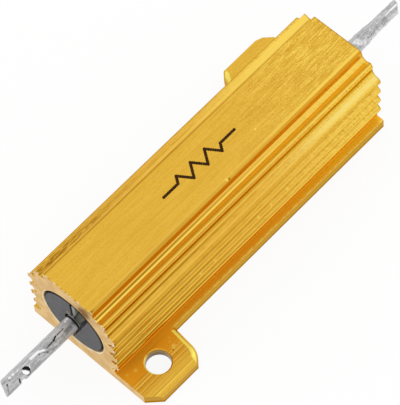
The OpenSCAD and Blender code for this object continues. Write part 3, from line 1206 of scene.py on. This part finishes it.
    def build(self, skin: Material, sawn: Material, chamfer: Material, burr: Material) -> None:
        """Makes the housing and its burrs.

        Args:
            skin: The anodised finish.
            sawn: The finish of the sawn ends.
            chamfer: The finish of the bore's rim.
            burr: The finish of the torn edges.
        """
        work = merged_copy("housing")
        corners = self._end_corners(work)
        for vert in work.verts:
            if same(abs(vert.co.y), self.brow_top[0]) and same(vert.co.z, self.brow_top[1]):
                vert.co.z -= self.brow_dip
        for reach in (-self.lip_reach, self.lip_reach):
            whole = [*work.verts, *work.edges, *work.faces]
            bmesh.ops.bisect_plane(
                work, geom=whole, dist=MERGE, plane_co=(0.0, reach, 0.0), plane_no=(0.0, 1.0, 0.0)
            )
        round_edges(work, self._lug_corner, self.cut_round, segments=6)
        round_edges(work, self._wall_foot, self.wall_chamfer, segments=1)
        runs, place = self._runs_along, self._section_place
        feet = {place(e) for e in work.edges if runs(e) and turn(e) < -self.foot_turn}
        round_edges(work, lambda e: runs(e) and turn(e) > self.ridge_turn, self.fin_round, segments=3)
        round_edges(work, lambda e: runs(e) and place(e) in feet, self.foot_round, segments=4)
        round_edges(work, self._lug_inner, self.roll_round, segments=5, clamp=False)
        round_edges(work, self._punched_top, self.lip_round, segments=3)
        round_edges(work, self._hole_edge, self.hole_round, segments=3, clamp=False)
        rim = round_edges(work, self._bore_mouth, self.rim_round, segments=2, clamp=False)
        for face in work.faces:
            flat = abs(face.normal.x) > 0.95 and same(abs(face.calc_center_median().x), self.half_length)
            face.material_index = (HousingFace.SAWN if flat else HousingFace.SKIN).value
        for face in rim:
            if face.is_valid:
                face.material_index = HousingFace.CHAMFER.value
        piece = finished_piece("finned_housing", work, (skin, sawn, chamfer))
        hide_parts("housing")
        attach(piece, "root")
        self._burrs(corners, burr)


# ---- Terminals ----


@dataclass(frozen=True)
class Mark:
    """A stroke on a blade, in millimetres outward from the body and across the blade, painted as a highlight
    where its last field is above 0, and as shade, with some dark marks, where it is below.
    """

    start_out: float
    start_across: float
    end_out: float
    end_across: float
    half_width: float
    depth: float
    light_and_shade: float

    def reach(self, out: float, across: float) -> float:
        """How fully a place lies on the stroke.

        Args:
            out: Distance from the body's end.
            across: Distance from the blade's middle line.

        Returns:
            1 on the stroke's line, falling to 0 at its half width.
        """
        start = Vector((self.start_out, self.start_across))
        line = Vector((self.end_out, self.end_across)) - start
        share = min(1.0, max(0.0, (Vector((out, across)) - start).dot(line) / line.length_squared))
        gap = (Vector((out, across)) - start - line * share).length
        return step(gap, self.half_width, 0.25 * self.half_width)


# The strokes on each blade, as the fields of a Mark; a last field above 0 paints a highlight, and below 0
# shade and dark marks.
LEFT_MARKS = (
    (0.0, -0.25, 5.0, -0.4, 0.6, 0.0, -0.38),
    (0.0, -0.2, 1.8, -0.2, 0.6, 0.0, -0.15),
    (5.7, -0.3, 12.3, -0.2, 0.6, 0.0, -0.2),
    (0.4, 0.8, 0.9, 0.7, 0.26, 0.0, 0.7),
    (0.6, 0.75, 3.6, 0.75, 0.42, 0.0, 0.35),
    (1.8, 0.26, 3.2, 0.26, 0.14, 0.1, -0.85),
    (3.2, 0.26, 3.7, 0.1, 0.14, 0.12, -0.95),
    (3.7, 0.1, 5.0, 0.06, 0.16, 0.08, -0.7),
    (2.2, -0.05, 3.0, -0.05, 0.14, 0.0, 0.5),
    (2.4, -0.72, 6.2, -0.74, 0.14, 0.0, -0.22),
    (5.45, 0.1, 6.0, 0.44, 0.2, -0.02, 1.0),
    (6.1, 0.52, 7.3, 0.61, 0.24, -0.02, 1.2),
    (7.3, 0.64, 9.6, 0.72, 0.22, -0.02, 0.5),
    (9.6, 0.76, 11.1, 0.84, 0.2, -0.02, 0.45),
    (10.3, 0.86, 10.45, 0.86, 0.17, -0.02, 0.8),
    (10.9, 0.86, 11.0, 0.86, 0.17, -0.02, 0.8),
    (5.25, -0.4, 5.6, -0.06, 0.12, 0.05, -0.4),
    (5.6, -0.06, 6.2, 0.21, 0.12, 0.05, -0.45),
    (6.2, 0.21, 8.6, 0.4, 0.13, 0.04, -0.4),
    (8.9, 0.6, 11.2, 0.62, 0.15, 0.03, -0.42),
    (11.2, 0.62, 12.1, 0.88, 0.14, 0.03, -0.4),
    (11.75, 0.5, 12.4, -0.5, 0.14, 0.04, -0.25),
    (11.8, 0.45, 11.9, 0.35, 0.16, 0.02, -0.6),
    (12.0, 0.55, 12.65, -0.45, 0.13, -0.02, 0.4),
    (10.2, -0.15, 10.4, -0.5, 0.15, 0.06, -0.75),
    (8.1, 0.1, 8.4, -0.35, 0.16, -0.02, 0.8),
)
RIGHT_MARKS = (
    (3.3, 1.1, 4.3, 0.3, 0.62, -0.02, 0.6),
    (4.6, -0.3, 5.1, 0.5, 0.18, 0.04, -0.35),
    (5.2, 0.4, 5.9, 0.15, 0.2, 0.03, -0.4),
    (5.4, -0.47, 11.2, -0.47, 0.6, 0.0, 0.52),
    (5.6, 0.14, 7.3, 0.1, 0.14, 0.05, -0.5),
    (7.3, 0.12, 11.3, 0.22, 0.12, 0.04, -0.35),
    (7.2, -0.2, 7.4, -0.5, 0.14, 0.03, -0.4),
    (7.9, -0.35, 8.4, -0.6, 0.15, 0.03, -0.45),
    (8.5, -0.6, 9.2, -0.3, 0.14, 0.03, -0.4),
    (8.1, -0.05, 8.3, -0.1, 0.15, 0.0, 0.7),
    (7.4, 0.72, 8.8, 0.75, 0.12, -0.02, 0.5),
    (9.2, 0.68, 10.2, 0.7, 0.15, -0.02, 0.85),
    (10.2, 0.7, 11.3, 0.7, 0.2, -0.02, 1.0),
    (5.8, 0.5, 10.0, 0.45, 0.12, 0.02, -0.3),
    (10.4, 1.15, 11.2, 1.1, 0.18, 0.02, -0.35),
)


@dataclass
class Terminal:
    """A round lead pressed into a flat blade, with an eyelet, the press tool's marks, and painted highlights
    and shade.

    Its sizes are in millimetres, apart from the voxel, which is in metres.
    """

    node: str
    eyelet: str
    strokes: tuple[tuple[float, ...], ...]
    shoulder_drop: float
    hammer: float
    shoulder: Pair = (0.5, 1.2)
    bite: Pair = (0.0, 9.0)
    bite_depth: float = 0.4
    bite_radius: float = 0.55
    eyelet_radius: float = 0.53
    # How much shade is painted on the eyelet's wall and rim.
    eyelet_shade: float = 1.0
    tongue: float = 0.3
    tongue_aim: Pair = (0.8, -0.6)
    lift: float = 0.0
    voxel: float = 0.07 * MM
    press: Pair = (4.5, 7.0)
    hammer_grain: float = 0.55
    mark_grain: float = 0.35

    def __post_init__(self) -> None:
        """Reads the blade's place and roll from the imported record."""
        self.marks = [Mark(*stroke) for stroke in self.strokes]
        self.half_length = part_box("housing")[1].x
        low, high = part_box("filling_compound")
        self.root = Vector((0.0, 0.0, (low.z + high.z) / 2))
        mount = next(m for m in frame["record"]["mounts"] if m["name"] == self.eyelet)
        self.hole = Vector(mount["pos_m"])
        self.hole_out = abs(self.hole.x) / MM - self.half_length / MM
        self.normal = Vector(mount["axis"]).normalized()
        if self.normal.z < 0:
            self.normal = -self.normal
        self.side = Vector((1.0, 0.0, 0.0)).cross(self.normal) * -1
        if self.side.y < 0:
            self.side = -self.side

    def _place(self, point: Vector) -> Triple:
        """Measures where a point of the terminal lies.

        Args:
            point: The point, in metres.

        Returns:
            Its distance outward, across and over the blade, in millimetres.
        """
        out = abs(point.x) - self.half_length
        share = out / (abs(self.hole.x) - self.half_length)
        centre = self.root.lerp(Vector((0.0, self.hole.y, self.hole.z)), min(1.2, max(0.0, share)))
        offset = Vector((0.0, point.y, point.z)) - centre
        return out / MM, offset.dot(self.side) / MM, offset.dot(self.normal) / MM

    def _relief(self, vert: bmesh.types.BMVert) -> tuple[Vector, float]:
        """How the press and the hammering moved a point, and the highlight and shade painted on it.

        Args:
            vert: The point.

        Returns:
            Its move in millimetres, and its painted light: above 0 a highlight, and below 0 shade and dark
            marks.
        """
        out, across, over = self._place(vert.co)
        if out < 0.0:
            return Vector(), 0.0
        upper = step(over, 0.0, 0.2)
        hammered = self.hammer * step(out, 1.0, 3.0) * noise.noise(vert.co / (self.hammer_grain * MM))
        drop = self.shoulder_drop * step(out, *self.press) * step(across, *self.shoulder)
        broken = step(noise.noise(vert.co / (self.mark_grain * MM)), -0.5, 0.1)
        shading = 0.0
        for mark in self.marks:
            reach = mark.reach(out, across) * upper
            drop += mark.depth * reach
            shading += mark.light_and_shade * reach * (0.5 + 0.5 * broken if abs(mark.light_and_shade) < 1.0 else 1.0)
        hole, rim = math.hypot(out - self.hole_out, across), self.eyelet_radius
        # Painted shade on the eyelet's wall and rim; a value below 0 paints it lighter instead.
        shading -= 1.5 * self.eyelet_shade * (step(hole, rim + 0.13, rim + 0.04) * step(over, 0.44, 0.36))
        # Painted shade where the lead leaves the compound.
        shading -= 1.5 * step(out, 0.32, 0.18)
        bitten = step(math.hypot(out - self.bite[0], across - self.bite[1]), self.bite_radius, 0.2)
        inward = Vector((self.hole_out - out, -across)) / max(hole, 0.1)
        aimed = inward.x * self.tongue_aim[0] + inward.y * self.tongue_aim[1]
        filled = step(aimed, 0.1, 0.8) * step(hole, rim + 0.2, rim) * step(over, 0.35, 0.1)
        outward = Vector((math.copysign(1.0, vert.co.x), 0.0, 0.0))
        sideways = self.lift * step(out, 0.0, 2.5) + math.copysign(self.bite_depth, -self.bite[1]) * bitten
        move = hammered * vert.normal - drop * upper * self.normal + sideways * self.side
        move += self.tongue * filled * (inward.x * outward + inward.y * self.side)
        # The bite in the blade's edge gets a painted highlight.
        return move, shading + 0.9 * bitten

    def build(self, name: str, tin: Material) -> None:
        """Makes the terminal.

        Args:
            name: The piece's name.
            tin: Its finish.
        """
        work = remeshed_copy(self.node, self.voxel)
        for _ in range(2):
            bmesh.ops.smooth_vert(
                work, verts=work.verts, factor=0.5, use_axis_x=True, use_axis_y=True, use_axis_z=True
            )
        light_and_shade = work.verts.layers.float.new("light_and_shade")
        work.normal_update()
        for vert, (move, shading) in [(vert, self._relief(vert)) for vert in work.verts]:
            vert.co += move * MM
            vert[light_and_shade] = shading
        piece = finished_piece(name, work, (tin,))
        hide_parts(self.node)
        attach(piece, "root")


LEFT_TERMINAL = Terminal(
    "left_terminal", "left_eyelet", LEFT_MARKS, shoulder_drop=0.12, hammer=0.03, bite=(9.85, -0.95)
)
RIGHT_TERMINAL = Terminal(
    "right_terminal",
    "right_eyelet",
    RIGHT_MARKS,
    shoulder_drop=0.08,
    hammer=0.06,
    # Below 0: the right eyelet's wall is painted lighter.
    eyelet_shade=-0.2,
    tongue=0.0,
    lift=0.3,
)


# ---- Studio ----


@dataclass
class Studio:
    """Camera, pale floor, even surroundings and one square soft lamp."""

    azimuth: float = -41.08
    elevation: float = 61.37
    roll: float = -6.755
    distance: float = 392.3 * MM
    lens: float = 267.69
    target: Triple = (0.28 * MM, 2.25 * MM, 1.02 * MM)
    clip_start: float = 10 * MM
    floor_half: float = 900 * MM
    floor_drop: float = 0.02 * MM
    floor_white: float = 0.88
    paper: Colour = (0.86, 0.86, 0.86)
    glow: float = 1.02
    surround: float = 0.95
    lamp_place: Triple = (0.4, -0.09, 0.22)
    lamp_size: float = 0.12
    lamp_power: float = 0.15

    def build(self) -> None:
        """Makes the whole studio."""
        self._camera()
        self._floor()
        self._lamp()
        self._world()
        bpy.context.scene.view_settings.view_transform = "Standard"

    def _camera(self) -> None:
        """Aims the camera."""
        a, e = math.radians(self.azimuth), math.radians(self.elevation)
        back = Vector((math.sin(a) * math.cos(e), -math.cos(a) * math.cos(e), math.sin(e)))
        lens = bpy.data.cameras.new("camera")
        lens.lens = self.lens
        lens.clip_start = self.clip_start
        camera = bpy.data.objects.new("camera", lens)
        camera.rotation_mode = "QUATERNION"
        camera.location = Vector(self.target) + back * self.distance
        rolled = Quaternion((0.0, 0.0, 1.0), math.radians(self.roll))
        camera.rotation_quaternion = (-back).to_track_quat("-Z", "Y") @ rolled
        bpy.context.scene.collection.objects.link(camera)
        bpy.context.scene.camera = camera

    def _floor(self) -> None:
        """Lays the floor that the base rests on, white where it is seen and paper where it is lit."""
        work = bmesh.new()
        bmesh.ops.create_grid(work, x_segments=1, y_segments=1, size=self.floor_half)
        mesh = bpy.data.meshes.new("floor")
        work.to_mesh(mesh)
        work.free()
        floor = bpy.data.objects.new("floor", mesh)
        floor.location.z = -self.floor_drop
        graph = Graph("floor_paper")
        paths = graph.add("ShaderNodeLightPath", {}, {}).outputs
        rays = ("Is Camera Ray", "Is Glossy Ray", "Is Transmission Ray")
        seen = total(Channel(graph, paths[ray]) for ray in rays).rise(0.0, 1.0)
        paper = graph.add("ShaderNodeBsdfDiffuse", {}, {"Color": self.paper})
        glow = graph.add("ShaderNodeEmission", {}, {"Color": (1.0, 1.0, 1.0), "Strength": self.glow})
        inputs = {0: seen * self.floor_white, 1: paper.outputs[0], 2: glow.outputs[0]}
        both = graph.add("ShaderNodeMixShader", {}, inputs)
        graph.add("ShaderNodeOutputMaterial", {}, {"Surface": both.outputs[0]})
        mesh.materials.append(graph.material)
        bpy.context.scene.collection.objects.link(floor)

    def _lamp(self) -> None:
        """Hangs the lamp, aimed at the part."""
        data = bpy.data.lights.new("corner_lamp", "AREA")
        data.shape = "SQUARE"
        data.size = self.lamp_size
        data.energy = self.lamp_power
        light = bpy.data.objects.new("corner_lamp", data)
        light.location = self.lamp_place
        light.rotation_mode = "QUATERNION"
        light.rotation_quaternion = (-Vector(self.lamp_place)).to_track_quat("-Z", "Y")
        bpy.context.scene.collection.objects.link(light)

    def _world(self) -> None:
        """Fills the surroundings with even light."""
        world = bpy.data.worlds.new("surroundings")
        bpy.context.scene.world = world
        world.use_nodes = True
        background = world.node_tree.nodes["Background"]
        background.inputs["Color"].default_value = (1.0, 1.0, 1.0, 1.0)
        background.inputs["Strength"].default_value = self.surround


# ---- Assembly ----


def dress(node: str, material: Material) -> None:
    """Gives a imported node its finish.

    Args:
        node: The node's name.
        material: Its material.
    """
    for slot in frame["nodes"][node].material_slots:
        slot.material = material
    log.info("dressed %s", node)


def main() -> None:
    """Builds the pieces in order."""
    logging.basicConfig(level=logging.INFO, format="%(name)s: %(message)s")
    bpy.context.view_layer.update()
    housing = Housing()
    half_length = housing.half_length / MM
    skin = GoldAnodising(half_length, housing.height / MM).build()
    housing.build(skin, SawnAluminium().build(), CHAMFER.build(), BURR.build())
    tin = DullTin().build(half_length)
    LEFT_TERMINAL.build("left_solder_terminal", tin)
    RIGHT_TERMINAL.build("right_solder_terminal", tin)
    dress("filling_compound", PottingCompound().build(half_length, housing.bore_height / MM))
    dress("printed_mark", INK.build())
    dress("ceramic_core", CERAMIC.build())
    dress("resistance_winding", WIRE.build())
    plated = PLATED.build()
    dress("left_end_cap", plated)
    dress("right_end_cap", plated)
    Studio().build()


if __name__ == "__main__":
    main()
